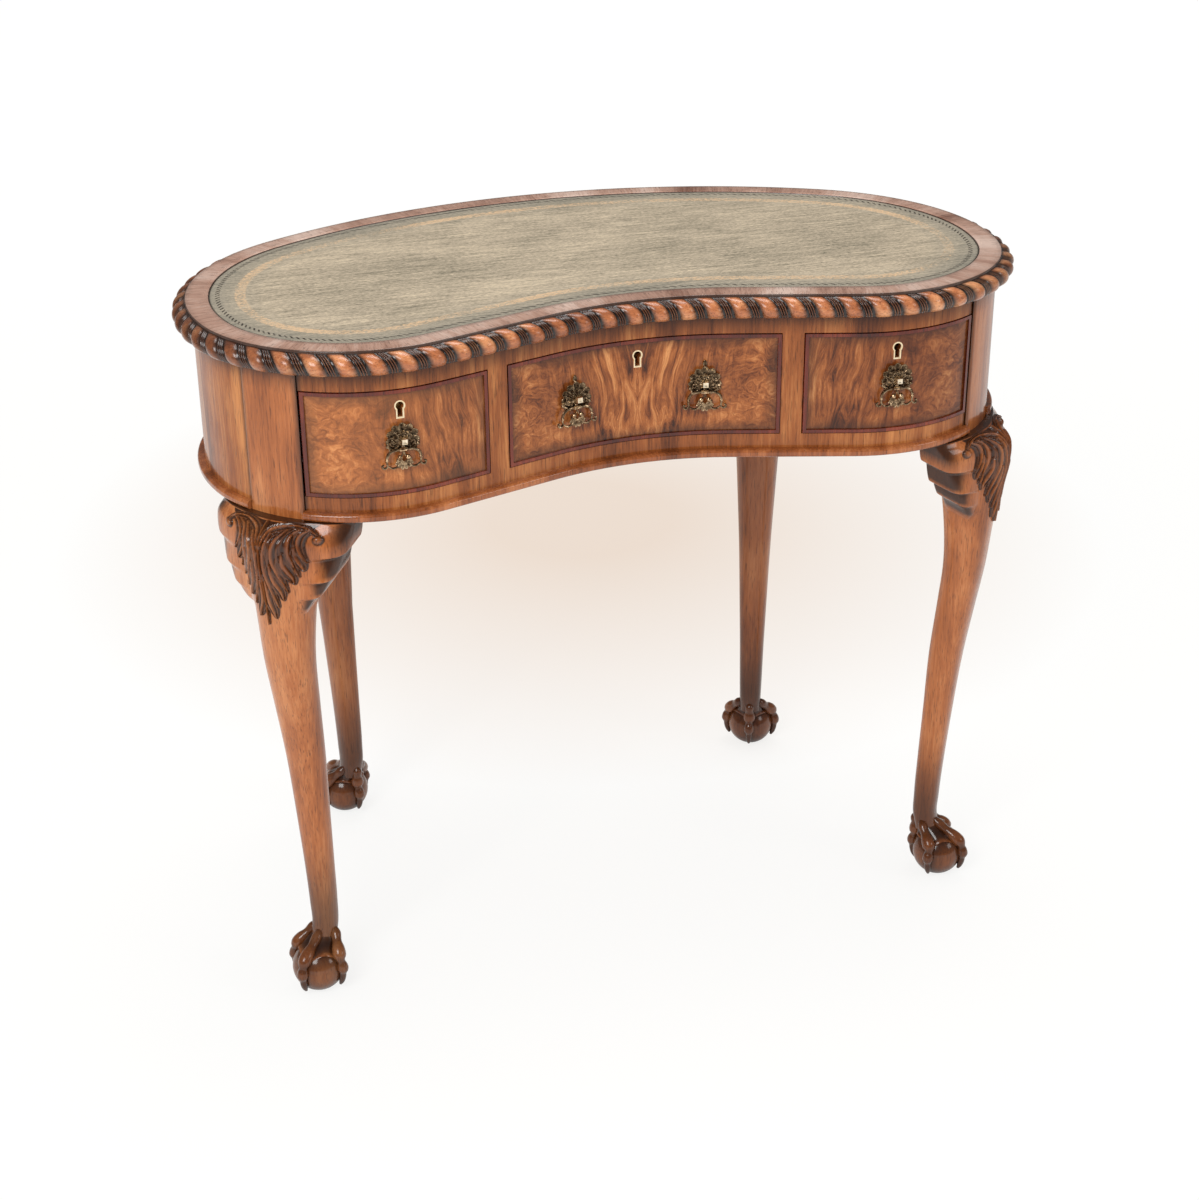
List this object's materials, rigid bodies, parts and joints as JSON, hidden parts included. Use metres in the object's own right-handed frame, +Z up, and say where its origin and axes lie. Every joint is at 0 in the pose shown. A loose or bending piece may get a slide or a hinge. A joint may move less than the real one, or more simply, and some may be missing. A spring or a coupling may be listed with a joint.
{
  "type": "kidney shaped desk",
  "caption": "Kidney shaped writing desk with a leather top, curved drawers with drop handles, and cabriole legs on ball and claw feet.",
  "frame": {"origin": "on the floor, under the middle of the desk's bounding box", "axes": "+X along the width to the right of a sitter's view of the front, +Y from the front to the back, +Z up; the drawers open towards -Y"},
  "size_m": [0.9124, 0.4994, 0.762],
  "materials": {
    "walnut": "polished straight grained walnut",
    "walnut_inside": "plain board, unpolished below",
    "crossband": "polished crossbanded walnut, faded",
    "burr_walnut": "polished figured walnut veneer, book matched",
    "bead_walnut": "polished reddish walnut bead",
    "leg_walnut": "polished walnut, dark in the carved hollows",
    "carved_walnut": "carved and polished walnut, dark in the hollows",
    "leather": "aged olive brown hide with a faded gilt band",
    "oak": "plain unpolished oak",
    "antique_brass": "dark aged cast brass",
    "polished_brass": "worn bright brass",
    "lock_brass": "plain brass",
    "bone": "cream bone, polished",
    "steel": "plain steel"
  },
  "bodies": {
    "desk": {"back_panel": "walnut", "base_bead": "bead_walnut", "bottom_rail": "walnut", "divider_left": "walnut", "divider_right": "walnut", "drawer_kickers": "oak", "drawer_runners": "oak", "drawer_stops": "oak", "ears_front_left": "carved_walnut", "ears_front_right": "carved_walnut", "ears_rear_left": "carved_walnut", "ears_rear_right": "carved_walnut", "edge_moulding": "carved_walnut", "leather_inset": "leather", "leg_front_left": "leg_walnut", "leg_front_right": "leg_walnut", "leg_rear_left": "leg_walnut", "leg_rear_right": "leg_walnut", "side_panel_left": "walnut", "side_panel_right": "walnut", "top_board": "walnut_inside", "top_border": "crossband", "top_rail": "walnut", "top_screws": "steel"},
    "drawer_left": {"drawer_left_front": "burr_walnut", "drawer_left_cockbeads": "bead_walnut", "drawer_left_sides": "oak", "drawer_left_back": "oak", "drawer_left_bottom": "oak", "drawer_left_lock_case": "lock_brass", "drawer_left_escutcheon": "bone", "handle_left_plate": "antique_brass", "handle_left_stud": "polished_brass"},
    "drawer_centre": {"drawer_centre_front": "burr_walnut", "drawer_centre_cockbeads": "bead_walnut", "drawer_centre_sides": "oak", "drawer_centre_back": "oak", "drawer_centre_bottom": "oak", "drawer_centre_lock_case": "lock_brass", "drawer_centre_escutcheon": "bone", "handle_centre_left_plate": "antique_brass", "handle_centre_left_stud": "polished_brass", "handle_centre_right_plate": "antique_brass", "handle_centre_right_stud": "polished_brass"},
    "drawer_right": {"drawer_right_front": "burr_walnut", "drawer_right_cockbeads": "bead_walnut", "drawer_right_sides": "oak", "drawer_right_back": "oak", "drawer_right_bottom": "oak", "drawer_right_lock_case": "lock_brass", "drawer_right_escutcheon": "bone", "handle_right_plate": "antique_brass", "handle_right_stud": "polished_brass"},
    "lock_bolt_left": {"drawer_left_lock_bolt": "steel"},
    "lock_bolt_centre": {"drawer_centre_lock_bolt": "steel"},
    "lock_bolt_right": {"drawer_right_lock_bolt": "steel"},
    "drop_left": {"handle_left_drop": "antique_brass"},
    "drop_centre_left": {"handle_centre_left_drop": "antique_brass"},
    "drop_centre_right": {"handle_centre_right_drop": "antique_brass"},
    "drop_right": {"handle_right_drop": "antique_brass"}
  },
  "joints": [
    {"name": "drawer_left_slide", "type": "slide", "parent": "desk", "child": "drawer_left", "axis": [0, -1, 0], "range_m": [0, 0.19]},
    {"name": "drawer_centre_slide", "type": "slide", "parent": "desk", "child": "drawer_centre", "axis": [0, -1, 0], "range_m": [0, 0.24]},
    {"name": "drawer_right_slide", "type": "slide", "parent": "desk", "child": "drawer_right", "axis": [0, -1, 0], "range_m": [0, 0.19]},
    {"name": "lock_bolt_left_slide", "type": "slide", "parent": "drawer_left", "child": "lock_bolt_left", "axis": [0, 0, 1], "range_m": [0, 0.007]},
    {"name": "lock_bolt_centre_slide", "type": "slide", "parent": "drawer_centre", "child": "lock_bolt_centre", "axis": [0, 0, 1], "range_m": [0, 0.007]},
    {"name": "lock_bolt_right_slide", "type": "slide", "parent": "drawer_right", "child": "lock_bolt_right", "axis": [0, 0, 1], "range_m": [0, 0.007]},
    {"name": "drop_left_hinge", "type": "hinge", "parent": "drawer_left", "child": "drop_left", "pos_m": [-0.26426, -0.23365, 0.656], "axis": [-0.9989, -0.0466, 0], "range_deg": [0, 85]},
    {"name": "drop_centre_left_hinge", "type": "hinge", "parent": "drawer_centre", "child": "drop_centre_left", "pos_m": [-0.06974, -0.18006, 0.656], "axis": [-0.9758, -0.2185, 0], "range_deg": [0, 85]},
    {"name": "drop_centre_right_hinge", "type": "hinge", "parent": "drawer_centre", "child": "drop_centre_right", "pos_m": [0.06974, -0.18006, 0.656], "axis": [-0.9758, 0.2185, 0], "range_deg": [0, 85]},
    {"name": "drop_right_hinge", "type": "hinge", "parent": "drawer_right", "child": "drop_right", "pos_m": [0.26426, -0.23365, 0.656], "axis": [-0.9989, 0.0466, 0], "range_deg": [0, 85]}
  ]
}
